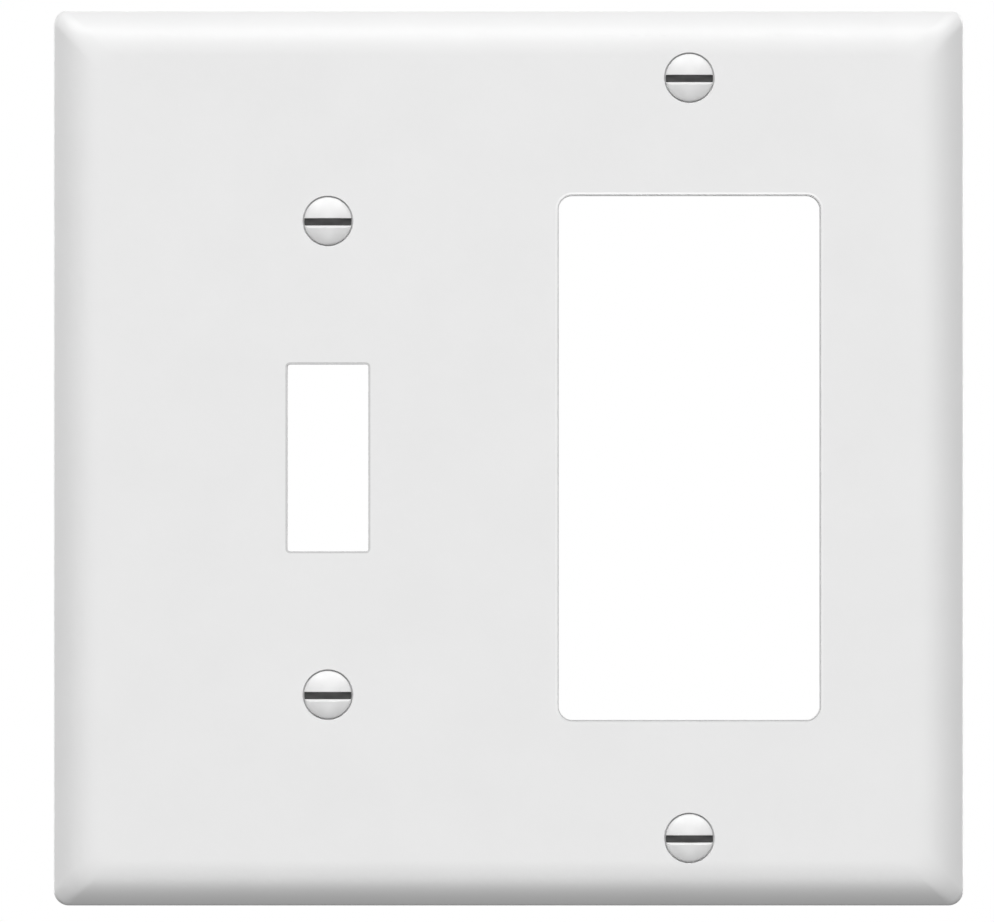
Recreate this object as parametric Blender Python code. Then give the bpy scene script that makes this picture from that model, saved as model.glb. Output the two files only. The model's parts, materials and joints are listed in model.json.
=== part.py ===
"""Two-gang combination wall plate: one moulded plastic plate and its four slotted oval-head screws.

The left gang is open for a toggle switch and the right gang for a decorator device. X is the plate's
width and +Z is up. The wall plane is Y = 0, the room is on the -Y side, and the screws run into +Y.
The origin is the centre of the wall plane.
"""

import math

import bmesh
import bpy

MM = 0.001

# Plate outline, measured at the rim that rests on the wall
PLATE_WIDTH = 116.1 * MM
PLATE_HEIGHT = 114.3 * MM
PLATE_DEPTH = 5.6 * MM
RIM_CORNER_RADIUS = 1.9 * MM
FACE_CORNER_RADIUS = 2.1 * MM

# Rolled edge: the face falls away by ROLL_DROP over ROLL_WIDTH, steepest at the outline
ROLL_WIDTH = 6.0 * MM
ROLL_DROP = 2.85 * MM
ROLL_POWER = 2.4
ROLL_STEPS = 9
RIM_DRAFT = 0.06 * MM
EDGE_BREAK = 0.3 * MM

# Shell behind the face
FACE_THICKNESS = 2.3 * MM
RIM_WALL = 1.5 * MM
CORE_CHAMFER = 1.3 * MM
CORE_SLOPE_INSET = 1.9 * MM
CORE_CORNER_RADIUS = 1.0 * MM
CENTRE_RIB_THICKNESS = 1.4 * MM
RIB_THICKNESS = 1.2 * MM
RIB_CORNER_RADIUS = 0.3 * MM
STRAP_CLEARANCE = 1.6 * MM
RIB_SETBACK = 2.2 * MM
COLLAR_SETBACK = 1.8 * MM
COLLAR_WALL = 1.3 * MM
BOSS_RADIUS = 4.2 * MM
STIFFENER_ROOT = 0.5 * MM
RIB_END_INSET = 1.6 * MM

# Gangs: each device axis is half the gang spacing from the plate's centre
GANG_SPACING = 46.04 * MM
TOGGLE_X = -GANG_SPACING / 2
DECORATOR_X = GANG_SPACING / 2

TOGGLE_OPENING = (10.3 * MM, 23.8 * MM)
TOGGLE_CORNER_RADIUS = 0.3 * MM
TOGGLE_SCREW_SPACING = 60.33 * MM

DECORATOR_OPENING = (33.27 * MM, 66.8 * MM)
DECORATOR_CORNER_RADIUS = 1.75 * MM
DECORATOR_SCREW_SPACING = 96.84 * MM

OPENING_CHAMFER = 0.25 * MM

# Screws: 6-32 UNC, slotted oval head, 82 degree countersink
HEAD_RADIUS = 3.03 * MM
HEAD_LAND = 0.12 * MM
CROWN_HEIGHT = 0.8 * MM
COUNTERSINK_HALF_ANGLE = math.radians(41)
SLOT_WIDTH = 0.92 * MM
SLOT_DEPTH = 0.95 * MM
SCREW_LENGTH = 12.7 * MM
THREAD_MAJOR_RADIUS = 1.75 * MM
THREAD_MINOR_RADIUS = 1.27 * MM
THREAD_PITCH = 25.4 / 32 * MM
THREAD_START = 2.6 * MM
THREAD_FADE = 0.8 * MM
NECK_RADIUS = 1.4 * MM
TIP_RADIUS = 1.0 * MM

# Hole round each screw
HEAD_GAP = 0.18 * MM
SEAT_LAND = 0.3 * MM
CLEARANCE_RADIUS = 2.05 * MM

# Facets
CORNER_STEPS = 5
HEAD_SEGMENTS = 32
SHANK_SEGMENTS = 16
CROWN_RINGS = 4
RINGS_PER_TURN = 4
OVERSHOOT = 1.0 * MM

PLASTIC_WHITE = (0.80, 0.80, 0.80, 1.0)
PAINT_WHITE = (0.86, 0.86, 0.86, 1.0)


def clear_scene():
    for old in list(bpy.data.objects):
        bpy.data.objects.remove(old)


def make_material(name, colour, roughness, metallic):
    material = bpy.data.materials.new(name)
    material.use_nodes = True
    shader = material.node_tree.nodes["Principled BSDF"]
    shader.inputs["Base Color"].default_value = colour
    shader.inputs["Roughness"].default_value = roughness
    shader.inputs["Metallic"].default_value = metallic
    return material


def add_object(name, bm):
    """A scene object from bm, with its faces turned to point out."""
    bmesh.ops.recalc_face_normals(bm, faces=bm.faces)
    mesh = bpy.data.meshes.new(name)
    bm.to_mesh(mesh)
    bm.free()
    made = bpy.data.objects.new(name, mesh)
    bpy.context.scene.collection.objects.link(made)
    return made


def rounded_rectangle(width, height, radius, centre=(0.0, 0.0)):
    """Outline of a rectangle with round corners, as (x, z) points in order."""
    outline = []
    for quarter, (side_x, side_z) in enumerate(((1, 1), (-1, 1), (-1, -1), (1, -1))):
        corner_x = centre[0] + side_x * (width / 2 - radius)
        corner_z = centre[1] + side_z * (height / 2 - radius)
        for step in range(CORNER_STEPS + 1):
            angle = (quarter + step / CORNER_STEPS) * math.pi / 2
            outline.append((corner_x + radius * math.cos(angle), corner_z + radius * math.sin(angle)))
    return outline


def circle(radius, segments, centre):
    """Outline of a circle as (x, z) points."""
    angles = [2 * math.pi * step / segments for step in range(segments)]
    return [(centre[0] + radius * math.cos(a), centre[1] + radius * math.sin(a)) for a in angles]


def loft(name, sections):
    """Closed body through (y, outline) sections, capped at both ends."""
    bm = bmesh.new()
    rings = [[bm.verts.new((x, y, z)) for x, z in outline] for y, outline in sections]
    for ring, following in zip(rings, rings[1:]):
        for i in range(len(ring)):
            j = (i + 1) % len(ring)
            bm.faces.new((ring[i], ring[j], following[j], following[i]))
    bm.faces.new(rings[0])
    bm.faces.new(rings[-1])
    return add_object(name, bm)


def boolean(target, tool, operation):
    """Cuts tool from target, or joins it on, and keeps tool out of the model."""
    tool.hide_render = True
    tool.display_type = "WIRE"
    modifier = target.modifiers.new(f"{operation.lower()} {tool.name}", "BOOLEAN")
    modifier.operation = operation
    modifier.solver = "EXACT"
    modifier.object = tool


def plate_section(y, inset, radius):
    return y, rounded_rectangle(PLATE_WIDTH - 2 * inset, PLATE_HEIGHT - 2 * inset, radius)


def plate_blank():
    """Solid outer form: a short drafted rim, then the edge that rolls up to the flat face."""
    rim_top = PLATE_DEPTH - ROLL_DROP
    sections = [
        plate_section(0.0, 0.0, RIM_CORNER_RADIUS),
        plate_section(-(rim_top - EDGE_BREAK), RIM_DRAFT, RIM_CORNER_RADIUS),
    ]
    first_inset = RIM_DRAFT + EDGE_BREAK / 2
    for step in range(ROLL_STEPS + 1):
        share = step / ROLL_STEPS
        inset = first_inset + (ROLL_WIDTH - first_inset) * share
        y = -(PLATE_DEPTH - ROLL_DROP * (1 - inset / ROLL_WIDTH) ** ROLL_POWER)
        radius = RIM_CORNER_RADIUS + (FACE_CORNER_RADIUS - RIM_CORNER_RADIUS) * share
        sections.append(plate_section(y, inset, radius))
    return loft("wall_plate", sections)


def gang_core(name, side):
    """Cutter for the hollow behind one gang. It stops at the centre rib, which stays flush with the rim."""

    def section(y, inset):
        width = PLATE_WIDTH / 2 - CENTRE_RIB_THICKNESS / 2 - inset
        centre_x = side * (CENTRE_RIB_THICKNESS / 2 + width / 2)
        height = PLATE_HEIGHT - 2 * inset
        return y, rounded_rectangle(width, height, CORE_CORNER_RADIUS, (centre_x, 0.0))

    floor = -(PLATE_DEPTH - FACE_THICKNESS)
    sections = [
        section(OVERSHOOT, RIM_WALL),
        section(floor + CORE_CHAMFER, RIM_WALL),
        section(floor, RIM_WALL + CORE_SLOPE_INSET),
    ]
    return loft(name, sections)


def stiffener(name, outline, setback):
    """Part of the moulding that rises from inside the face to setback short of the wall plane."""
    rooted = -(PLATE_DEPTH - FACE_THICKNESS + STIFFENER_ROOT)
    return loft(name, [(rooted, outline), (-setback, outline)])


def collar(name, opening, corner_radius, centre_x):
    """Frame behind an opening, which the opening is later cut through."""
    width, height = (size + 2 * COLLAR_WALL for size in opening)
    outline = rounded_rectangle(width, height, corner_radius + COLLAR_WALL, (centre_x, 0.0))
    return stiffener(name, outline, COLLAR_SETBACK)


def rib(name, x_range, z_range):
    centre = (sum(x_range) / 2, sum(z_range) / 2)
    outline = rounded_rectangle(x_range[1] - x_range[0], z_range[1] - z_range[0], RIB_CORNER_RADIUS, centre)
    return stiffener(name, outline, RIB_SETBACK)


def cross_rib(name, x_range, z):
    return rib(name, x_range, (z - RIB_THICKNESS / 2, z + RIB_THICKNESS / 2))


def upright_rib(name, x, z_range):
    return rib(name, (x - RIB_THICKNESS / 2, x + RIB_THICKNESS / 2), z_range)


def stiffening_ribs():
    """Ribs from the rim to the screw bosses and the collars, mirrored top to bottom."""
    rim_x = PLATE_WIDTH / 2 - RIB_END_INSET
    rim_z = PLATE_HEIGHT / 2 - RIB_END_INSET
    toggle_collar_z = TOGGLE_OPENING[1] / 2 + COLLAR_WALL / 2
    collar_left = DECORATOR_X - DECORATOR_OPENING[0] / 2 - COLLAR_WALL / 2
    collar_right = DECORATOR_X + DECORATOR_OPENING[0] / 2 + COLLAR_WALL / 2
    ribs = []
    for side, end in ((1, "upper"), (-1, "lower")):
        toggle_run = sorted((side * toggle_collar_z, side * rim_z))
        decorator_run = sorted((side * DECORATOR_SCREW_SPACING / 2, side * rim_z))
        screw_z = side * TOGGLE_SCREW_SPACING / 2
        ribs += [
            upright_rib(f"{end}_toggle_rib", TOGGLE_X, toggle_run),
            upright_rib(f"{end}_decorator_rib", DECORATOR_X, decorator_run),
            cross_rib(f"{end}_toggle_cross_rib", (-rim_x, 0.0), screw_z),
            cross_rib(f"{end}_decorator_outer_rib", (collar_right, rim_x), screw_z),
            cross_rib(f"{end}_decorator_inner_rib", (0.0, collar_left), screw_z),
        ]
    return ribs


def screw_places():
    """Each screw's name and the (x, z) of its axis."""
    toggle_z = TOGGLE_SCREW_SPACING / 2
    decorator_z = DECORATOR_SCREW_SPACING / 2
    return {
        "toggle_upper_screw": (TOGGLE_X, toggle_z),
        "toggle_lower_screw": (TOGGLE_X, -toggle_z),
        "decorator_upper_screw": (DECORATOR_X, decorator_z),
        "decorator_lower_screw": (DECORATOR_X, -decorator_z),
    }


def opening_cutter(name, size, corner_radius, centre_x):
    """Prism through the plate that flares over the last OPENING_CHAMFER to break the front edge."""

    def section(y, growth):
        width, height = (length + 2 * growth for length in size)
        return y, rounded_rectangle(width, height, corner_radius + growth, (centre_x, 0.0))

    sections = [
        section(-(PLATE_DEPTH + OVERSHOOT), OPENING_CHAMFER + OVERSHOOT),
        section(-(PLATE_DEPTH - OPENING_CHAMFER), 0.0),
        section(OVERSHOOT, 0.0),
    ]
    return loft(name, sections)


def screw_hole_cutter(name, centre):
    """Clearance hole with a countersink whose mouth stands HEAD_GAP clear of the screw head."""
    mouth = HEAD_RADIUS + HEAD_GAP
    cone_depth = (mouth - CLEARANCE_RADIUS) / math.tan(COUNTERSINK_HALF_ANGLE)
    seat = -(PLATE_DEPTH - SEAT_LAND)
    sections = [
        (-(PLATE_DEPTH + OVERSHOOT), circle(mouth, HEAD_SEGMENTS, centre)),
        (seat, circle(mouth, HEAD_SEGMENTS, centre)),
        (seat + cone_depth, circle(CLEARANCE_RADIUS, HEAD_SEGMENTS, centre)),
        (OVERSHOOT, circle(CLEARANCE_RADIUS, HEAD_SEGMENTS, centre)),
    ]
    return loft(name, sections)


def wall_plate():
    plate = plate_blank()
    boolean(plate, gang_core("toggle_gang_core", -1), "DIFFERENCE")
    boolean(plate, gang_core("decorator_gang_core", 1), "DIFFERENCE")
    toggle = (TOGGLE_OPENING, TOGGLE_CORNER_RADIUS, TOGGLE_X)
    decorator = (DECORATOR_OPENING, DECORATOR_CORNER_RADIUS, DECORATOR_X)
    boolean(plate, collar("toggle_collar", *toggle), "UNION")
    boolean(plate, collar("decorator_collar", *decorator), "UNION")
    for stiffening_rib in stiffening_ribs():
        boolean(plate, stiffening_rib, "UNION")
    for name, centre in screw_places().items():
        outline = circle(BOSS_RADIUS, HEAD_SEGMENTS, centre)
        boolean(plate, stiffener(f"{name}_boss", outline, STRAP_CLEARANCE), "UNION")
    boolean(plate, opening_cutter("toggle_opening", *toggle), "DIFFERENCE")
    boolean(plate, opening_cutter("decorator_opening", *decorator), "DIFFERENCE")
    for name, centre in screw_places().items():
        boolean(plate, screw_hole_cutter(f"{name}_hole", centre), "DIFFERENCE")
    return plate


def head_profile():
    """(height, radius) down the turned head, from under the crown's pole to the neck."""
    sphere = (HEAD_RADIUS**2 + CROWN_HEIGHT**2) / (2 * CROWN_HEIGHT)
    edge_angle = math.asin(HEAD_RADIUS / sphere)
    profile = []
    for ring in range(1, CROWN_RINGS + 1):
        angle = edge_angle * ring / CROWN_RINGS
        profile.append((CROWN_HEIGHT - sphere * (1 - math.cos(angle)), sphere * math.sin(angle)))
    cone_height = (HEAD_RADIUS - NECK_RADIUS) / math.tan(COUNTERSINK_HALF_ANGLE)
    profile.append((-HEAD_LAND, HEAD_RADIUS))
    profile.append((-HEAD_LAND - cone_height, NECK_RADIUS))
    return profile


def thread_radius(depth, angle):
    """Radius of the right-hand thread. It fades in after the neck and out before the tip."""
    phase = (angle / (2 * math.pi) + depth / THREAD_PITCH) % 1.0
    crest = 1 - abs(2 * phase - 1)
    run_in = (depth - THREAD_START) / THREAD_FADE
    run_out = (SCREW_LENGTH - THREAD_FADE - depth) / THREAD_FADE
    fade = min(1.0, max(0.0, min(run_in, run_out)))
    return THREAD_MINOR_RADIUS + (THREAD_MAJOR_RADIUS - THREAD_MINOR_RADIUS) * crest * fade


def shank_rings():
    """(depth, radii) for each ring of the shank, from the thread's start to the tip."""
    angles = [2 * math.pi * step / SHANK_SEGMENTS for step in range(SHANK_SEGMENTS)]
    count = round((SCREW_LENGTH - THREAD_FADE - THREAD_START) / THREAD_PITCH * RINGS_PER_TURN)
    rings = []
    for ring in range(count + 1):
        depth = THREAD_START + ring * THREAD_PITCH / RINGS_PER_TURN
        rings.append((depth, [thread_radius(depth, angle) for angle in angles]))
    rings.append((SCREW_LENGTH, [TIP_RADIUS] * SHANK_SEGMENTS))
    return rings


def ring_of_vertices(bm, height, radii):
    made = []
    for step, radius in enumerate(radii):
        angle = 2 * math.pi * step / len(radii)
        made.append(bm.verts.new((radius * math.cos(angle), radius * math.sin(angle), height)))
    return made


def skin(bm, ring, following):
    """Quads between two rings of the same count."""
    for i in range(len(ring)):
        j = (i + 1) % len(ring)
        bm.faces.new((ring[i], ring[j], following[j], following[i]))


def edges_round(bm, ring):
    return [bm.edges.get((ring[i - 1], ring[i])) for i in range(len(ring))]


def screw(name, centre):
    """Screw standing on its own axis: local +Z comes out of the head, and z = 0 is the head's rim."""
    bm = bmesh.new()
    pole = bm.verts.new((0.0, 0.0, CROWN_HEIGHT))
    head = [ring_of_vertices(bm, z, [r] * HEAD_SEGMENTS) for z, r in head_profile()]
    shank = [ring_of_vertices(bm, -depth, radii) for depth, radii in shank_rings()]
    for i in range(HEAD_SEGMENTS):
        bm.faces.new((pole, head[0][i - 1], head[0][i]))
    for rings in (head, shank):
        for ring, following in zip(rings, rings[1:]):
            skin(bm, ring, following)
    neck = edges_round(bm, head[-1]) + edges_round(bm, shank[0])
    bmesh.ops.bridge_loops(bm, edges=neck)
    bm.faces.new(shank[-1])
    made = add_object(name, bm)
    made.location = (centre[0], -PLATE_DEPTH, centre[1])
    made.rotation_euler = (math.pi / 2, 0.0, 0.0)
    return made


def slot_cutter(name, parent):
    """Bar across the head, parented to the screw so that the slot turns with it."""
    reach = HEAD_RADIUS + OVERSHOOT
    bottom = CROWN_HEIGHT - SLOT_DEPTH
    bm = bmesh.new()
    bmesh.ops.create_cube(bm, size=1.0)
    height = SLOT_DEPTH + OVERSHOOT
    bmesh.ops.scale(bm, vec=(2 * reach, SLOT_WIDTH, height), verts=bm.verts)
    bmesh.ops.translate(bm, vec=(0.0, 0.0, bottom + height / 2), verts=bm.verts)
    made = add_object(name, bm)
    made.parent = parent
    return made


def finish_piece(piece, material):
    piece.data.materials.append(material)
    piece.data.shade_smooth()
    piece.data.set_sharp_from_angle(angle=math.radians(30))


def main():
    clear_scene()
    plastic = make_material("white_plastic", PLASTIC_WHITE, 0.4, 0.0)
    paint = make_material("white_paint", PAINT_WHITE, 0.35, 0.0)
    finish_piece(wall_plate(), plastic)
    for name, centre in screw_places().items():
        made = screw(name, centre)
        boolean(made, slot_cutter(f"{name}_slot", made), "DIFFERENCE")
        finish_piece(made, paint)


main()
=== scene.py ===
"""The finished look of the two-gang combination wall plate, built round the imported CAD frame.

The plate and its four screws are modelled again with fine, smooth surfaces at the CAD sizes: the
rolled edge, broken edges at each opening, moulded ribs behind, and turned screws with real threads.
X is the plate's width, +Y goes into the wall and +Z is up. Lengths are metres.
"""

import json
import math

import bmesh
import bpy
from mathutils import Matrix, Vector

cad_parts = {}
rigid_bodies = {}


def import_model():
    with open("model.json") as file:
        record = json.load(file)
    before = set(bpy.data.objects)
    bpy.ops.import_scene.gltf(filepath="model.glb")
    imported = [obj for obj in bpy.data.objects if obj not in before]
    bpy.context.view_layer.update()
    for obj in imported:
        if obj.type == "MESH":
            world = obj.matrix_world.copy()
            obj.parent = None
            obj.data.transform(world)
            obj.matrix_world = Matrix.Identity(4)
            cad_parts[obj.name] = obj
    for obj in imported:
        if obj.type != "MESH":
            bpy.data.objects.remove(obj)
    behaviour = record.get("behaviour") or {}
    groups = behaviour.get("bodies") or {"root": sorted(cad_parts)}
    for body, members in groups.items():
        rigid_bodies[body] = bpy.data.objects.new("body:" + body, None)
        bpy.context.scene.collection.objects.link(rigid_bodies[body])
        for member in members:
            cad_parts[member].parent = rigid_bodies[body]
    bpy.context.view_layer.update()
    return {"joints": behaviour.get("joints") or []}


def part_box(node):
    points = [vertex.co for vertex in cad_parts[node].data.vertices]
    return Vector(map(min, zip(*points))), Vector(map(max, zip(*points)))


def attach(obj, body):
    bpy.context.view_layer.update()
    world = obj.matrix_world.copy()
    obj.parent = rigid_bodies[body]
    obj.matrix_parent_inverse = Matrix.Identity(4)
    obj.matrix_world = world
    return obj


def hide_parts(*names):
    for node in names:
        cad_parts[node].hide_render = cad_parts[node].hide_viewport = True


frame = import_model()

MM = 0.001

# Plate, from the CAD box of its node
PLATE_LOW, PLATE_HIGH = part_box("wall_plate")
PLATE_WIDTH = PLATE_HIGH.x - PLATE_LOW.x
PLATE_HEIGHT = PLATE_HIGH.z - PLATE_LOW.z
PLATE_DEPTH = PLATE_HIGH.y - PLATE_LOW.y

# Screw axes, from the CAD joints: {node: (x, z)}
SCREW_AXES = {joint["child"]: (joint["pos_m"][0], joint["pos_m"][2]) for joint in frame["joints"]}
TOGGLE_X, TOGGLE_SCREW_Z = SCREW_AXES["toggle_upper_screw"]
DECORATOR_X, DECORATOR_SCREW_Z = SCREW_AXES["decorator_upper_screw"]

# Rolled edge: outward from the flat face it falls by ROLL_DROP across ROLL_WIDTH, slowly at first
RIM_CORNER_RADIUS = 1.9 * MM
FACE_CORNER_RADIUS = 2.1 * MM
ROLL_WIDTH = 6.0 * MM
ROLL_DROP = 2.85 * MM
ROLL_POWER = 2.4
ROLL_STEPS = 30
RIM_DRAFT = 0.06 * MM
RIM_BREAK = 0.26 * MM
RIM_BREAK_WIDTH = RIM_BREAK * 2 / 3
REAR_BREAK = 0.2 * MM
BREAK_STEPS = 5

# Hollow behind the face
FACE_THICKNESS = 2.3 * MM
RIM_WALL = 1.5 * MM
HOLLOW_SWEEP = 2.4 * MM
HOLLOW_STRAIGHT = 1.4 * MM
HOLLOW_STEPS = 8
HOLLOW_CORNER_RADIUS = 1.2 * MM
CENTRE_RIB_THICKNESS = 1.4 * MM
CENTRE_RIB_FLARE = 0.3

# Stiffeners moulded on the back
RIB_THICKNESS = 1.2 * MM
RIB_CORNER_RADIUS = 0.3 * MM
RIB_END_INSET = 1.6 * MM
RIB_SETBACK = 2.2 * MM
COLLAR_SETBACK = 1.8 * MM
COLLAR_WALL = 1.3 * MM
BOSS_RADIUS = 4.2 * MM
BOSS_SETBACK = 1.6 * MM
STIFFENER_ROOT = 0.5 * MM
BASE_FILLET = 0.3 * MM
TOP_BREAK = 0.12 * MM
EJECTOR_RADIUS = 2.2 * MM
EJECTOR_DEPTH = 0.07 * MM
EJECTOR_CLEARANCE = EJECTOR_RADIUS * 2

# Openings, (width, height) and corner radius
TOGGLE_OPENING = (10.3 * MM, 23.8 * MM)
TOGGLE_CORNER_RADIUS = 0.3 * MM
DECORATOR_OPENING = (33.27 * MM, 66.8 * MM)
DECORATOR_CORNER_RADIUS = 1.75 * MM
EDGE_BREAK = 0.03 * MM

# Lands round the openings: widths, depth, fall outward, and the depth that holds all of both lands
TOGGLE_LAND = 0.25 * MM
DECORATOR_LAND = 0.15 * MM
LAND_DEPTH = 0.02 * MM
TOGGLE_LAND_FALL = 0.0
DECORATOR_LAND_FALL = 0.05 * MM
LAND_REACH = 0.15 * MM

# Raised bead outside the decorator opening
BEAD_WIDTH = 0.42 * MM
BEAD_HEIGHT = 0.06 * MM

# Cutters: where an edge's round starts, how far they pass a surface, and how near counts as on it
BREAK_START = math.radians(20)
OVERSHOOT = 1.0 * MM
SHORT_OVERSHOOT = OVERSHOOT / 10
EPSILON = 0.002 * MM

# Screws: 6-32, slotted oval head
HEAD_RADIUS = 3.03 * MM
HEAD_LAND = 0.12 * MM
HEAD_BREAK = 0.2 * MM
CROWN_HEIGHT = 0.8 * MM
CROWN_SPHERE = (HEAD_RADIUS**2 + CROWN_HEIGHT**2) / (2 * CROWN_HEIGHT)
CONE_SLOPE = math.tan(math.radians(41))
SLOT_WIDTH = 0.92 * MM
SLOT_DEPTH = 0.95 * MM
SLOT_DROP = 0.12 * MM

# Rounds on the slot's edges, (radius, angle turned), and the most of the wall's depth they may take
UPPER_LIP = (0.07 * MM, math.radians(90))
LOWER_LIP = (0.85 * MM, math.radians(52))
LIP_SHARE = 0.7

# Screw shank, and its 32-to-the-inch thread
SCREW_LENGTH = 12.7 * MM
NECK_RADIUS = 1.4 * MM
THREAD_MAJOR_RADIUS = 1.75 * MM
THREAD_MINOR_RADIUS = 1.27 * MM
THREAD_PITCH = 25.4 / 32 * MM
THREAD_START = 2.6 * MM
THREAD_FADE = 0.8 * MM
THREAD_FLAT = 0.12
TIP_RADIUS = 1.0 * MM

# Hole round each screw
HEAD_GAP = 0.18 * MM
MOUTH_BREAK = 0.07 * MM
SEAT_LAND = 0.3 * MM
CLEARANCE_RADIUS = 2.05 * MM

# Facets and shading
CORNER_STEPS = 12
HOLE_SEGMENTS = 96
HEAD_SEGMENTS = 96
SHANK_SEGMENTS = 48
CROWN_RINGS = 14
RINGS_PER_TURN = 12
SLOT_STATIONS = 28
SMOOTH_ANGLE = math.radians(32)
LARGE_FACE_WEIGHT = 100


# ---------------------------------------------------------------- mesh tools


def rounded_rectangle(width, height, radius, centre=(0.0, 0.0)):
    """Outline of a rectangle with round corners, as (x, z) points in order."""
    outline = []
    for quarter, (side_x, side_z) in enumerate(((1, 1), (-1, 1), (-1, -1), (1, -1))):
        corner_x = centre[0] + side_x * (width / 2 - radius)
        corner_z = centre[1] + side_z * (height / 2 - radius)
        for step in range(CORNER_STEPS + 1):
            angle = (quarter + step / CORNER_STEPS) * math.pi / 2
            outline.append((corner_x + radius * math.cos(angle), corner_z + radius * math.sin(angle)))
    return outline


def circle(radius, centre):
    """Outline of a hole or a boss as (x, z) points."""
    angles = [2 * math.pi * step / HOLE_SEGMENTS for step in range(HOLE_SEGMENTS)]
    return [(centre[0] + radius * math.cos(a), centre[1] + radius * math.sin(a)) for a in angles]


def skin(bm, ring, following):
    """Quads between two rings of the same count."""
    for i in range(len(ring)):
        j = (i + 1) % len(ring)
        bm.faces.new((ring[i], ring[j], following[j], following[i]))


def mesh_object(name, bm, collection=None):
    """An object from bm with its faces turned to point out, in collection or in the scene."""
    bmesh.ops.recalc_face_normals(bm, faces=bm.faces)
    mesh = bpy.data.meshes.new(name)
    bm.to_mesh(mesh)
    bm.free()
    made = bpy.data.objects.new(name, mesh)
    (collection or bpy.context.scene.collection).objects.link(made)
    return made


def loft(name, rings_of_points, collection=None):
    """Closed body through rings of 3-D points, capped at both ends."""
    bm = bmesh.new()
    rings = [[bm.verts.new(point) for point in ring] for ring in rings_of_points]
    for ring, following in zip(rings, rings[1:]):
        skin(bm, ring, following)
    bm.faces.new(rings[0])
    bm.faces.new(rings[-1])
    return mesh_object(name, bm, collection)


def plate_loft(name, sections, collection=None):
    """Closed body through (y, outline) sections of (x, z) points."""
    return loft(name, [[(x, y, z) for x, z in outline] for y, outline in sections], collection)


def tool_collection(name):
    made = bpy.data.collections.new(name)
    bpy.context.scene.collection.children.link(made)
    return made


def apply_modifiers(target):
    """Replaces target's mesh with its evaluated one."""
    depsgraph = bpy.context.evaluated_depsgraph_get()
    done = bpy.data.meshes.new_from_object(target.evaluated_get(depsgraph), depsgraph=depsgraph)
    target.modifiers.clear()
    target.data = done


def boolean(target, tools, operation):
    """Joins every object of the tools collection to target, or cuts them from it, then removes them."""
    modifier = target.modifiers.new(operation, "BOOLEAN")
    modifier.operation = operation
    modifier.solver = "EXACT"
    modifier.operand_type = "COLLECTION"
    modifier.collection = tools
    bpy.context.view_layer.update()
    apply_modifiers(target)
    for tool in list(tools.objects):
        bpy.data.objects.remove(tool)
    bpy.data.collections.remove(tools)


def smooth(target):
    """Smooth shading that stays crisp at real edges and dead flat on the large faces."""
    target.data.shade_smooth()
    target.data.set_sharp_from_angle(angle=SMOOTH_ANGLE)
    weighted = target.modifiers.new("weighted normals", "WEIGHTED_NORMAL")
    weighted.weight = LARGE_FACE_WEIGHT
    weighted.keep_sharp = True


def curve_through(start, control, end, steps):
    """Points of the quadratic curve from start to end, both included."""
    points = []
    for step in range(steps + 1):
        s = step / steps
        points.append(tuple((1 - s) ** 2 * a + 2 * s * (1 - s) * c + s * s * b
                            for a, c, b in zip(start, control, end)))
    return points


def broken_edge(radius, surface, outward, end=math.pi / 2):
    """(depth axis, growth) of a cutter that rounds the edge where it leaves a surface facing outward.

    The round starts on the surface at BREAK_START and turns to end, where the straight wall takes over.
    """
    first = radius * math.cos(BREAK_START)
    widest = radius * (math.sin(end) - math.sin(BREAK_START))
    flare = SHORT_OVERSHOOT / math.tan(BREAK_START)
    sections = [(surface + outward * SHORT_OVERSHOOT, widest + flare)]
    for step in range(BREAK_STEPS + 1):
        angle = BREAK_START + (end - BREAK_START) * step / BREAK_STEPS
        depth = first - radius * math.cos(angle)
        sections.append((surface - outward * depth, radius * (math.sin(end) - math.sin(angle))))
    return sections


# ---------------------------------------------------------------- plate


def roll_y(inset):
    """Front surface of the rolled edge, inset in from the outline."""
    return -(PLATE_DEPTH - ROLL_DROP * max(0.0, 1 - inset / ROLL_WIDTH) ** ROLL_POWER)


def plate_profile():
    """(y, inset) up the outside of the plate, from the wall to the edge of the flat face."""
    rear = []
    for step in range(BREAK_STEPS + 1):
        angle = math.pi / 2 * step / BREAK_STEPS
        rear.append((-REAR_BREAK * (1 - math.cos(angle)), REAR_BREAK * (1 - math.sin(angle))))
    corner_y = roll_y(0.0)
    start = (corner_y + RIM_BREAK, RIM_DRAFT)
    roll_start = RIM_DRAFT + RIM_BREAK_WIDTH
    end = (roll_y(roll_start), roll_start)
    edge = curve_through(start, (corner_y, RIM_DRAFT), end, BREAK_STEPS)
    roll = []
    for step in range(1, ROLL_STEPS + 1):
        inset = roll_start + (ROLL_WIDTH - roll_start) * (step / ROLL_STEPS)
        roll.append((roll_y(inset), inset))
    return rear + edge + roll


def plate_blank():
    """The plate's outside, still solid behind."""
    sections = []
    for y, inset in plate_profile():
        radius = RIM_CORNER_RADIUS + (FACE_CORNER_RADIUS - RIM_CORNER_RADIUS) * inset / ROLL_WIDTH
        outline = rounded_rectangle(PLATE_WIDTH - 2 * inset, PLATE_HEIGHT - 2 * inset, radius)
        sections.append((y, outline))
    return plate_loft("moulded_plate", sections)


def hollow_profile():
    """(y, inset) of the hollow's wall, from behind the rim to the inside of the face."""
    floor = -(PLATE_DEPTH - FACE_THICKNESS)
    rear = [(y, RIM_WALL - growth) for y, growth in broken_edge(REAR_BREAK, 0.0, 1)]
    start = (-HOLLOW_STRAIGHT, RIM_WALL)
    end = (floor, RIM_WALL + HOLLOW_SWEEP)
    return rear + curve_through(start, (floor, RIM_WALL), end, HOLLOW_STEPS)


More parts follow.
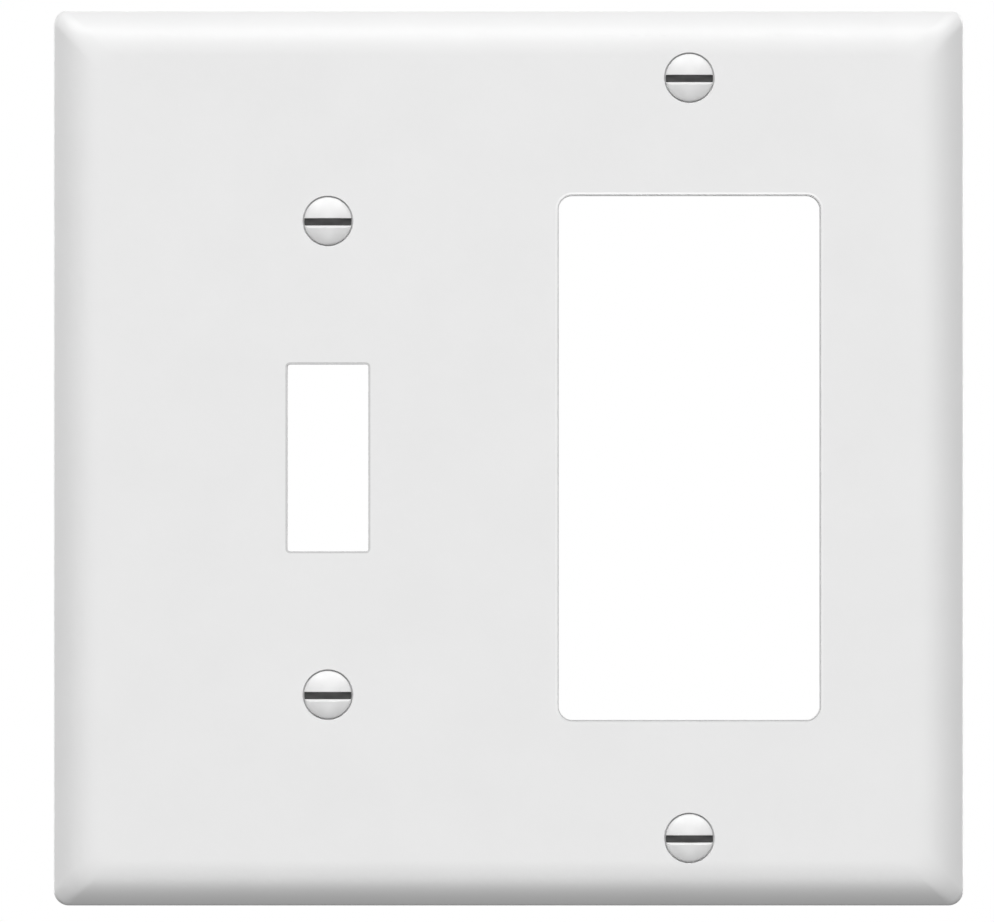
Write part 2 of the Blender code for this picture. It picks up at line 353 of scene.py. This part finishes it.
def gang_hollow(name, side, tools):
    """Cutter for the hollow behind one gang. It leaves the centre rib flush with the rim."""
    sections = []
    for y, inset in hollow_profile():
        rib_side = CENTRE_RIB_THICKNESS / 2 + (inset - RIM_WALL) * CENTRE_RIB_FLARE
        width = PLATE_WIDTH / 2 - rib_side - inset
        centre = (side * (rib_side + width / 2), 0.0)
        height = PLATE_HEIGHT - 2 * inset
        sections.append((y, rounded_rectangle(width, height, HOLLOW_CORNER_RADIUS, centre)))
    plate_loft(name, sections, tools)


def stiffener_profile(setback):
    """(y, growth) of a moulded rib or boss: rooted in the face, filleted at its base, broken at its top."""
    floor = -(PLATE_DEPTH - FACE_THICKNESS)
    profile = [(floor - STIFFENER_ROOT, BASE_FILLET)]
    for step in range(BREAK_STEPS):
        angle = math.pi / 2 * step / BREAK_STEPS
        profile.append((floor + BASE_FILLET * (1 - math.cos(angle)), BASE_FILLET * (1 - math.sin(angle))))
    for step in range(BREAK_STEPS + 1):
        angle = math.pi / 2 * step / BREAK_STEPS
        profile.append((-setback - TOP_BREAK * (1 - math.sin(angle)), -TOP_BREAK * (1 - math.cos(angle))))
    return profile


def block_stiffener(name, size, corner_radius, centre, setback, tools):
    sections = []
    for y, growth in stiffener_profile(setback):
        width, height = (length + 2 * growth for length in size)
        sections.append((y, rounded_rectangle(width, height, corner_radius + growth, centre)))
    plate_loft(name, sections, tools)


def round_stiffener(name, radius, centre, setback, tools):
    sections = [(y, circle(radius + growth, centre)) for y, growth in stiffener_profile(setback)]
    plate_loft(name, sections, tools)


def rib_between(name, low, high, tools):
    """Rib between two corners, (x, z), of its own outline."""
    size = (high[0] - low[0], high[1] - low[1])
    centre = ((low[0] + high[0]) / 2, (low[1] + high[1]) / 2)
    block_stiffener(name, size, RIB_CORNER_RADIUS, centre, RIB_SETBACK, tools)


def ribs(tools):
    """The ribs from the rim and the centre rib to the bosses and collars, above and below."""
    rim_x = PLATE_WIDTH / 2 - RIB_END_INSET
    rim_z = PLATE_HEIGHT / 2 - RIB_END_INSET
    half = RIB_THICKNESS / 2
    collar_z = TOGGLE_OPENING[1] / 2 + COLLAR_WALL / 2
    collar_left = DECORATOR_X - DECORATOR_OPENING[0] / 2 - COLLAR_WALL / 2
    collar_right = DECORATOR_X + DECORATOR_OPENING[0] / 2 + COLLAR_WALL / 2
    for side, end in ((1, "upper"), (-1, "lower")):
        for gang, x, from_z in (("toggle", TOGGLE_X, collar_z),
                                ("decorator", DECORATOR_X, DECORATOR_SCREW_Z)):
            low_z, high_z = sorted((side * from_z, side * rim_z))
            rib_between(f"{end}_{gang}_upright", (x - half, low_z), (x + half, high_z), tools)
        for run, low_x, high_x in (("toggle", -rim_x, 0.0),
                                   ("inner", 0.0, collar_left),
                                   ("outer", collar_right, rim_x)):
            z = side * TOGGLE_SCREW_Z
            rib_between(f"{end}_{run}_cross", (low_x, z - half), (high_x, z + half), tools)


def stiffeners():
    """Everything that is joined to the hollowed plate."""
    tools = tool_collection("stiffeners")
    ribs(tools)
    decorator_bead(tools)
    for name, size, radius, x in (("toggle", TOGGLE_OPENING, TOGGLE_CORNER_RADIUS, TOGGLE_X),
                                  ("decorator", DECORATOR_OPENING, DECORATOR_CORNER_RADIUS, DECORATOR_X)):
        outer = tuple(length + 2 * COLLAR_WALL for length in size)
        block_stiffener(f"{name}_collar", outer, radius + COLLAR_WALL, (x, 0.0), COLLAR_SETBACK, tools)
    for name, centre in SCREW_AXES.items():
        round_stiffener(f"{name}_boss", BOSS_RADIUS, centre, BOSS_SETBACK, tools)
    return tools


def decorator_bead(tools):
    """Low raised bead round the decorator opening, with its crest at the opening's edge."""
    crest = -(PLATE_DEPTH + BEAD_HEIGHT)
    profile = [(-(PLATE_DEPTH - STIFFENER_ROOT), BEAD_WIDTH), (-PLATE_DEPTH, BEAD_WIDTH)]
    foot, crown = (-PLATE_DEPTH, BEAD_WIDTH), (crest, BEAD_WIDTH / 2)
    profile += curve_through(foot, crown, (crest, 0.0), BREAK_STEPS)[1:]
    sections = []
    for y, growth in profile:
        width, height = (length + 2 * growth for length in DECORATOR_OPENING)
        outline = rounded_rectangle(width, height, DECORATOR_CORNER_RADIUS + growth, (DECORATOR_X, 0.0))
        sections.append((y, outline))
    plate_loft("decorator_bead", sections, tools)


def opening_cutter(name, size, corner_radius, centre_x, front_y, land, fall, tools):
    """Prism through the plate, with a shallow land round it in front and broken edges front and rear.

    land is the land's width. Its outer side lies deeper than its inner side by fall.
    """
    land_y = front_y + LAND_DEPTH
    front = [(front_y - SHORT_OVERSHOOT, land), (land_y + fall, land)]
    front += broken_edge(EDGE_BREAK, land_y, -1)[1:]
    rear = broken_edge(TOP_BREAK, -COLLAR_SETBACK, 1)
    sections = []
    for y, growth in front + rear[::-1]:
        width, height = (length + 2 * growth for length in size)
        sections.append((y, rounded_rectangle(width, height, corner_radius + growth, (centre_x, 0.0))))
    plate_loft(name, sections, tools)


def screw_hole_cutter(name, centre, tools):
    """Clearance hole with a countersink whose mouth stands HEAD_GAP clear of the screw head."""
    mouth = HEAD_RADIUS + HEAD_GAP
    cone_depth = (mouth - CLEARANCE_RADIUS) / CONE_SLOPE
    seat = -(PLATE_DEPTH - SEAT_LAND)
    profile = [(y, mouth + growth) for y, growth in broken_edge(MOUTH_BREAK, -PLATE_DEPTH, -1)]
    profile += [(seat, mouth), (seat + cone_depth, CLEARANCE_RADIUS)]
    rear = broken_edge(MOUTH_BREAK, -BOSS_SETBACK, 1)
    profile += [(y, CLEARANCE_RADIUS + growth) for y, growth in rear[::-1]]
    plate_loft(name, [(y, circle(radius, centre)) for y, radius in profile], tools)


def ejector_marks(tools):
    """Shallow round marks that the mould's ejector pins leave on the inside of the face."""
    floor = -(PLATE_DEPTH - FACE_THICKNESS)
    beside_toggle = [TOGGLE_X + side * (TOGGLE_OPENING[0] + EJECTOR_CLEARANCE) for side in (-1, 1)]
    beside_decorator = (DECORATOR_X + DECORATOR_OPENING[0] / 2 + PLATE_WIDTH / 2 - RIM_WALL) / 2
    rows = (DECORATOR_SCREW_Z - EJECTOR_RADIUS, DECORATOR_OPENING[1] / 6)
    places = [(x, side * z) for x in (*beside_toggle, beside_decorator) for z in rows for side in (-1, 1)]
    for number, centre in enumerate(places):
        sections = [(floor - EJECTOR_DEPTH, circle(EJECTOR_RADIUS, centre)),
                    (floor + OVERSHOOT / 2, circle(EJECTOR_RADIUS, centre))]
        plate_loft(f"ejector_{number}", sections, tools)


def cutters():
    """Everything that is cut from the plate last: openings, screw holes and ejector marks."""
    tools = tool_collection("cutters")
    opening_cutter("toggle_opening", TOGGLE_OPENING, TOGGLE_CORNER_RADIUS, TOGGLE_X,
                   -PLATE_DEPTH, TOGGLE_LAND, TOGGLE_LAND_FALL, tools)
    opening_cutter("decorator_opening", DECORATOR_OPENING, DECORATOR_CORNER_RADIUS, DECORATOR_X,
                   -(PLATE_DEPTH + BEAD_HEIGHT), DECORATOR_LAND, DECORATOR_LAND_FALL, tools)
    for name, centre in SCREW_AXES.items():
        screw_hole_cutter(f"{name}_hole", centre, tools)
    ejector_marks(tools)
    return tools


def outline_distance(x, z, size, corner_radius, centre_x):
    """How far the point (x, z) is outside an opening's outline."""
    across = abs(x - centre_x) - size[0] / 2 + corner_radius
    up = abs(z) - size[1] / 2 + corner_radius
    return math.hypot(max(across, 0.0), max(up, 0.0)) + min(max(across, up), 0.0) - corner_radius


# The plate's material slots, in the order of moulded_plate's finishes
FACE, LAND_PAINTED_SHADE, BEAD_HIGHLIGHT = range(3)


def plate_finish_at(centre):
    """Which of the plate's finishes a face has: moulded face, land round an opening painted darker as shade,
    or raised bead painted brighter as a highlight.
    """
    x, y, z = centre
    if y > -(PLATE_DEPTH - LAND_REACH) or abs(y + PLATE_DEPTH) < EPSILON:
        return FACE
    # Lands take the finish painted darker as shade, the bead the one painted brighter as a highlight
    if outline_distance(x, z, TOGGLE_OPENING, TOGGLE_CORNER_RADIUS, TOGGLE_X) < TOGGLE_LAND + EPSILON:
        return LAND_PAINTED_SHADE
    beside = outline_distance(x, z, DECORATOR_OPENING, DECORATOR_CORNER_RADIUS, DECORATOR_X)
    if beside < DECORATOR_LAND + EPSILON:
        return LAND_PAINTED_SHADE
    return BEAD_HIGHLIGHT if beside < BEAD_WIDTH + EPSILON else FACE


def moulded_plate(finishes):
    """The whole plate, with finishes for its face, its lands (painted shade) and its bead (painted
    highlight).
    """
    plate = plate_blank()
    hollows = tool_collection("hollows")
    gang_hollow("toggle_hollow", -1, hollows)
    gang_hollow("decorator_hollow", 1, hollows)
    boolean(plate, hollows, "DIFFERENCE")
    boolean(plate, stiffeners(), "UNION")
    boolean(plate, cutters(), "DIFFERENCE")
    for finish in finishes:
        plate.data.materials.append(finish)
    for face in plate.data.polygons:
        face.material_index = plate_finish_at(face.center)
    smooth(plate)
    return plate


# ---------------------------------------------------------------- screws


def crown_height(x, y):
    """Height of the domed crown above the head's rim."""
    reach = min(HEAD_RADIUS, math.hypot(x, y))
    return CROWN_HEIGHT - CROWN_SPHERE + math.sqrt(CROWN_SPHERE**2 - reach**2)


def head_profile():
    """(height, radius) down the turned head, from under the crown's pole to the neck."""
    profile = []
    rim = HEAD_RADIUS - HEAD_BREAK
    for ring in range(1, CROWN_RINGS + 1):
        radius = rim * ring / CROWN_RINGS
        profile.append((crown_height(radius, 0.0), radius))
    top = profile[-1]
    profile += curve_through(top, (0.0, HEAD_RADIUS), (-HEAD_LAND, HEAD_RADIUS), BREAK_STEPS)[1:]
    cone_height = (HEAD_RADIUS - NECK_RADIUS) / CONE_SLOPE
    profile.append((-HEAD_LAND - cone_height / 2, (HEAD_RADIUS + NECK_RADIUS) / 2))
    profile.append((-HEAD_LAND - cone_height, NECK_RADIUS))
    return profile


def thread_radius(depth, angle):
    """Radius of the right-hand thread, with flat crests and roots, fading in and out at its ends."""
    phase = (angle / (2 * math.pi) + depth / THREAD_PITCH) % 1.0
    flank = (1 - abs(2 * phase - 1) - THREAD_FLAT) / (1 - 2 * THREAD_FLAT)
    crest = min(1.0, max(0.0, flank))
    run_in = (depth - THREAD_START) / THREAD_FADE
    run_out = (SCREW_LENGTH - THREAD_FADE - depth) / THREAD_FADE
    fade = min(1.0, max(0.0, min(run_in, run_out)))
    return THREAD_MINOR_RADIUS + (THREAD_MAJOR_RADIUS - THREAD_MINOR_RADIUS) * crest * fade


def shank_rings():
    """(depth, radii) for each ring of the shank, from the thread's start to the tip."""
    angles = [2 * math.pi * step / SHANK_SEGMENTS for step in range(SHANK_SEGMENTS)]
    count = round((SCREW_LENGTH - THREAD_FADE - THREAD_START) / THREAD_PITCH * RINGS_PER_TURN)
    rings = []
    for ring in range(count + 1):
        depth = THREAD_START + ring * THREAD_PITCH / RINGS_PER_TURN
        rings.append((depth, [thread_radius(depth, angle) for angle in angles]))
    rings.append((SCREW_LENGTH, [TIP_RADIUS] * SHANK_SEGMENTS))
    return rings


def ring_of_vertices(bm, height, radii):
    made = []
    for step, radius in enumerate(radii):
        angle = 2 * math.pi * step / len(radii)
        made.append(bm.verts.new((radius * math.cos(angle), radius * math.sin(angle), height)))
    return made


def edges_round(bm, ring):
    return [bm.edges.get((ring[i - 1], ring[i])) for i in range(len(ring))]


def turned_screw(name):
    """Head and threaded shank as one body, local +Z out of the head and z = 0 at the head's rim."""
    bm = bmesh.new()
    pole = bm.verts.new((0.0, 0.0, CROWN_HEIGHT))
    head = [ring_of_vertices(bm, z, [r] * HEAD_SEGMENTS) for z, r in head_profile()]
    shank = [ring_of_vertices(bm, -depth, radii) for depth, radii in shank_rings()]
    for i in range(HEAD_SEGMENTS):
        bm.faces.new((pole, head[0][i - 1], head[0][i]))
    for rings in (head, shank):
        for ring, following in zip(rings, rings[1:]):
            skin(bm, ring, following)
    bmesh.ops.bridge_loops(bm, edges=edges_round(bm, head[-1]) + edges_round(bm, shank[0]))
    bm.faces.new(shank[-1])
    return mesh_object(name, bm)


def slot_side(x, lip):
    """(y, z) down one side of the slot's cutter at x: a round lip that follows the crown, then the wall."""
    radius, end = lip
    surface = crown_height(x, SLOT_WIDTH / 2)
    deepest = LIP_SHARE * (surface - (CROWN_HEIGHT - SLOT_DEPTH))
    radius = min(radius, deepest / (1 - math.cos(end)))
    side = [(SLOT_WIDTH / 2 + growth, z) for z, growth in broken_edge(radius, surface, 1, end)]
    top = (side[0][0], CROWN_HEIGHT + OVERSHOOT)
    floor = (SLOT_WIDTH / 2, CROWN_HEIGHT - SLOT_DEPTH)
    return [top, *side, floor]


def slot_section(x):
    """Cutter outline across the slot at x, a little below the head's centre."""
    upper = [(x, y - SLOT_DROP, z) for y, z in slot_side(x, UPPER_LIP)]
    lower = [(x, -y - SLOT_DROP, z) for y, z in slot_side(x, LOWER_LIP)]
    return upper + lower[::-1]


def cut_slot(screw):
    tools = tool_collection("slot")
    reach = HEAD_RADIUS + OVERSHOOT
    stations = [reach * (2 * step / SLOT_STATIONS - 1) for step in range(SLOT_STATIONS + 1)]
    loft("slot_bar", [slot_section(x) for x in stations], tools)
    boolean(screw, tools, "DIFFERENCE")


# A screw's material slots, in the order of oval_head_screw's finishes
PAINT, SHADED_SLOT, ZINC = range(3)


def screw_finish_at(centre):
    """Which of the screw's finishes a face has: painted head, slot painted dark as shade, or zinc-plated
    shank.
    """
    x, y, z = centre
    # Faces inside the slot take the finish painted dark as shade
    inside = abs(y + SLOT_DROP) < SLOT_WIDTH / 2 + EPSILON
    if inside and z < crown_height(x, y) - EPSILON and z > CROWN_HEIGHT - SLOT_DEPTH - EPSILON:
        return SHADED_SLOT
    neck = -(HEAD_RADIUS - NECK_RADIUS) / CONE_SLOPE
    return ZINC if z < neck else PAINT


def oval_head_screw(name, node, finishes):
    """The screw of a CAD node, in its hole, with finishes for its head, its slot and its shank."""
    screw = turned_screw(name)
    cut_slot(screw)
    for finish in finishes:
        screw.data.materials.append(finish)
    for face in screw.data.polygons:
        face.material_index = screw_finish_at(face.center)
    smooth(screw)
    x, z = SCREW_AXES[node]
    screw.location = (x, -PLATE_DEPTH, z)
    screw.rotation_euler = (math.pi / 2, 0.0, 0.0)
    return screw


# ---------------------------------------------------------------- materials

# Most of what a noise texture gives lies between these
NOISE_LOW, NOISE_HIGH = 0.3, 0.7

# The slot's floor, painted dark as shade: distances from its middle between which that painted shade deepens
# towards its ends, how much of its tone is grime, and the range of the two together
SLOT_SHADE = (0.8 * MM, 2.8 * MM)
GRIME_SHARE = 0.2
SLOT_TONES = (0.05, 1.15)


def new_material(name, colour, roughness, metallic=0.0):
    """A Principled material with its nodes, its links and its shader."""
    material = bpy.data.materials.new(name)
    material.use_nodes = True
    nodes, links = material.node_tree.nodes, material.node_tree.links
    shader = nodes["Principled BSDF"]
    shader.inputs["Base Color"].default_value = (*colour, 1.0)
    shader.inputs["Roughness"].default_value = roughness
    shader.inputs["Metallic"].default_value = metallic
    return material, nodes, links, shader


def noise(nodes, links, feature, detail):
    """Noise whose features are about that many metres across, in the piece's own coordinates."""
    place = nodes.new("ShaderNodeTexCoord")
    texture = nodes.new("ShaderNodeTexNoise")
    texture.inputs["Scale"].default_value = 1.0 / feature
    texture.inputs["Detail"].default_value = detail
    links.new(place.outputs["Object"], texture.inputs["Vector"])
    return texture.outputs["Fac"]


def spread(nodes, links, source, low, high, start=NOISE_LOW, stop=NOISE_HIGH):
    """source, remapped from start..stop to low..high."""
    remap = nodes.new("ShaderNodeMapRange")
    remap.inputs["From Min"].default_value = start
    remap.inputs["From Max"].default_value = stop
    remap.inputs["To Min"].default_value = low
    remap.inputs["To Max"].default_value = high
    links.new(source, remap.inputs["Value"])
    return remap.outputs["Result"]


def vary_colour(nodes, links, shader, source, low, high, start=NOISE_LOW, stop=NOISE_HIGH):
    """Base colour from low to high as source runs from start to stop."""
    mix = nodes.new("ShaderNodeMix")
    mix.data_type = "RGBA"
    colours = [socket for socket in mix.inputs if socket.type == "RGBA"]
    colours[0].default_value = (*low, 1.0)
    colours[1].default_value = (*high, 1.0)
    links.new(spread(nodes, links, source, 0.0, 1.0, start, stop), mix.inputs["Factor"])
    result = next(socket for socket in mix.outputs if socket.type == "RGBA")
    links.new(result, shader.inputs["Base Color"])


def bump(nodes, links, shader, source, height):
    """Relief of that height in metres from source."""
    relief = nodes.new("ShaderNodeBump")
    relief.inputs["Distance"].default_value = height
    relief.inputs["Strength"].default_value = 1.0
    links.new(source, relief.inputs["Height"])
    links.new(relief.outputs["Normal"], shader.inputs["Normal"])


def grey(value):
    return (value, value, value)


def grained(name, colour, roughness, tones, mottle, gloss, grain, relief, metallic=0.0):
    """A material that mottles between two tones, with a finer grain in its gloss and its relief.

    mottle and grain are the (feature size, detail) of their noise, gloss is the range of roughness
    and relief is the grain's height. colour and roughness are the shader's own, under those.
    """
    material, nodes, links, shader = new_material(name, colour, roughness, metallic)
    vary_colour(nodes, links, shader, noise(nodes, links, *mottle), *tones)
    fine = noise(nodes, links, *grain)
    links.new(spread(nodes, links, fine, *gloss), shader.inputs["Roughness"])
    bump(nodes, links, shader, fine, relief)
    return material


def white_plastic():
    """Moulded white plastic: satin gloss, a fine orange peel and faint flow mottling."""
    return grained("white_plastic", grey(0.81), 0.42, tones=(grey(0.800), grey(0.815)), mottle=(9 * MM, 3.0),
                   gloss=(0.38, 0.46), grain=(0.6 * MM, 2.0), relief=0.004 * MM)


def opening_land():
    """The narrow matt land that the mould's insert leaves round each opening, painted darker than the face as
    the shade along the opening's edge.
    """
    # Painted shade: the land's darker grey stands in for the shade along each opening's edge
    return grained("opening_land", grey(0.6), 0.6, tones=(grey(0.57), grey(0.62)), mottle=(0.25 * MM, 3.0),
                   gloss=(0.55, 0.68), grain=(0.25 * MM, 3.0), relief=0.003 * MM)


def bead_gloss():
    """The raised bead, a little glossier than the face, its grey painted brighter as a highlight along the
    decorator opening.
    """
    # Painted highlight: the bead's brighter grey stands in for light catching its edge
    return grained("bead_gloss", grey(0.87), 0.4, tones=(grey(0.865), grey(0.88)), mottle=(4 * MM, 3.0),
                   gloss=(0.36, 0.44), grain=(0.6 * MM, 2.0), relief=0.004 * MM)


def white_paint():
    """Baked white paint on the screw heads, a little glossier and softer-edged than the plate."""
    return grained("white_paint", grey(0.8), 0.38, tones=(grey(0.79), grey(0.81)), mottle=(1.1 * MM, 2.0),
                   gloss=(0.34, 0.42), grain=(0.35 * MM, 2.0), relief=0.003 * MM)


def zinc_plate():
    """Zinc-plated steel of the shank: cool grey metal with a cloudy, rolled finish."""
    return grained("zinc_plate", (0.62, 0.63, 0.64), 0.34, tones=((0.56, 0.57, 0.58), (0.68, 0.69, 0.70)),
                   mottle=(1.4 * MM, 3.0), gloss=(0.26, 0.42), grain=(0.2 * MM, 3.0), relief=0.003 * MM,
                   metallic=1.0)


def dark_slot():
    """Painted shade in the driver slot: a dull dark grey that stands in for the slot's shade, slightly
    streaked and darker towards its ends.
    """
    material, nodes, links, shader = new_material("dark_slot", grey(0.11), 0.55)
    grime = noise(nodes, links, 0.5 * MM, 4.0)
    place, split = nodes.new("ShaderNodeTexCoord"), nodes.new("ShaderNodeSeparateXYZ")
    links.new(place.outputs["Object"], split.inputs["Vector"])
    along = nodes.new("ShaderNodeMath")
    along.operation = "ABSOLUTE"
    links.new(split.outputs["X"], along.inputs[0])
    shade = nodes.new("ShaderNodeMapRange")
    shade.inputs["From Min"].default_value, shade.inputs["From Max"].default_value = SLOT_SHADE
    shade.inputs["To Min"].default_value, shade.inputs["To Max"].default_value = 1.0, 0.0
    links.new(along.outputs["Value"], shade.inputs["Value"])
    mixed = nodes.new("ShaderNodeMath")
    mixed.operation = "MULTIPLY_ADD"
    mixed.inputs[1].default_value = GRIME_SHARE
    links.new(grime, mixed.inputs[0])
    links.new(shade.outputs["Result"], mixed.inputs[2])
    # Painted shade: the slot's dark grey, deepest towards its ends, stands in for the shade inside it, with a
    # little grime mixed in
    vary_colour(nodes, links, shader, mixed.outputs["Value"], grey(0.03), grey(0.132), *SLOT_TONES)
    links.new(spread(nodes, links, grime, 0.45, 0.65), shader.inputs["Roughness"])
    bump(nodes, links, shader, grime, 0.004 * MM)
    return material


def pale_floor():
    material, nodes, links, shader = new_material("pale_floor", grey(0.8), 0.7)
    tone = noise(nodes, links, 60 * MM, 3.0)
    vary_colour(nodes, links, shader, tone, grey(0.79), grey(0.81))
    return material


# ---------------------------------------------------------------- studio

# Framing: the plate's centre is where it is in the photograph, and the scale lies between the
# photograph's sideways and upright scales, which its stretch makes different
FRAME_WIDTH = 126.6 * MM
VIEW_OFFSET = (-1.48 * MM, -0.4 * MM)
LENS_MM = 600.0
SENSOR_MM = 36.0
NEAREST_SEEN, FURTHEST_SEEN = 0.01, 10

# Softboxes, all the same size and distance: {name: (azimuth, elevation, watts)}.
# Azimuth 0 is straight in front of the plate and 90 is to its right.
SOFTBOX_DISTANCE = 6.0
SOFTBOX_SIZE = 2.4
SOFTBOXES = {
    "key": (-35, 45, 146), "right_key": (35, 45, 128), "top": (0, 48, 70), "front_fill": (0, 5, 60),
    "low_fill": (0, -35, 86),
    "left_edge": (-120, 14, 102), "right_edge": (125, 24, 142),
    "left_back": (-140, 0, 60), "right_back": (140, 0, 90), "back": (180, 40, 100),
}
AMBIENT = 0.08

# Floor below the plate, and half its side
FLOOR_GAP = 45 * MM
FLOOR_SIZE = 0.9


def camera():
    data = bpy.data.cameras.new("camera")
    data.lens = LENS_MM
    data.sensor_width = SENSOR_MM
    distance = FRAME_WIDTH * LENS_MM / SENSOR_MM
    data.clip_start = distance * NEAREST_SEEN
    data.clip_end = distance * FURTHEST_SEEN
    made = bpy.data.objects.new("camera", data)
    made.location = (VIEW_OFFSET[0], -PLATE_DEPTH - distance, VIEW_OFFSET[1])
    made.rotation_euler = (math.pi / 2, 0.0, 0.0)
    bpy.context.scene.collection.objects.link(made)
    bpy.context.scene.camera = made


def softbox(name, azimuth, elevation, power):
    data = bpy.data.lights.new(name, "AREA")
    data.shape = "SQUARE"
    data.size = SOFTBOX_SIZE
    data.energy = power
    made = bpy.data.objects.new(name, data)
    level = SOFTBOX_DISTANCE * math.cos(math.radians(elevation))
    across = math.radians(azimuth)
    height = SOFTBOX_DISTANCE * math.sin(math.radians(elevation))
    made.location = (level * math.sin(across), -level * math.cos(across), height)
    made.rotation_euler = (-made.location).to_track_quat("-Z", "Y").to_euler()
    made.visible_camera = False
    bpy.context.scene.collection.objects.link(made)


def surroundings():
    """Plain white to the camera, and a dimmer even light on the object."""
    world = bpy.data.worlds.new("studio")
    bpy.context.scene.world = world
    world.use_nodes = True
    nodes, links = world.node_tree.nodes, world.node_tree.links
    nodes.clear()
    seen, light = nodes.new("ShaderNodeBackground"), nodes.new("ShaderNodeBackground")
    seen.inputs["Strength"].default_value = 1.0
    seen.inputs["Color"].default_value = (1.0, 1.0, 1.0, 1.0)
    light.inputs["Strength"].default_value = AMBIENT
    light.inputs["Color"].default_value = (1.0, 1.0, 1.0, 1.0)
    path, mix, output = (nodes.new(f"ShaderNode{kind}") for kind in ("LightPath", "MixShader", "OutputWorld"))
    links.new(path.outputs["Is Camera Ray"], mix.inputs["Fac"])
    links.new(light.outputs["Background"], mix.inputs[1])
    links.new(seen.outputs["Background"], mix.inputs[2])
    links.new(mix.outputs["Shader"], output.inputs["Surface"])


def floor():
    """Pale floor below the plate, which the plate, held by its wall, doesn't touch."""
    bm = bmesh.new()
    bmesh.ops.create_grid(bm, x_segments=1, y_segments=1, size=FLOOR_SIZE)
    made = mesh_object("floor", bm)
    made.location = (0.0, 0.0, PLATE_LOW.z - FLOOR_GAP)
    made.data.materials.append(pale_floor())
    made.visible_diffuse = False
    made.visible_glossy = False
    made.visible_shadow = False


# ---------------------------------------------------------------- the scene


def build():
    plate = moulded_plate((white_plastic(), opening_land(), bead_gloss()))
    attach(plate, "plate")
    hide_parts("wall_plate")
    finishes = (white_paint(), dark_slot(), zinc_plate())
    for node in SCREW_AXES:
        screw = oval_head_screw(node.replace("_screw", "_oval_head_screw"), node, finishes)
        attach(screw, node)
        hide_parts(node)


def studio():
    camera()
    surroundings()
    for name, (azimuth, elevation, power) in SOFTBOXES.items():
        softbox(name, azimuth, elevation, power)
    floor()
    bpy.context.scene.view_settings.view_transform = "Standard"


studio()
build()
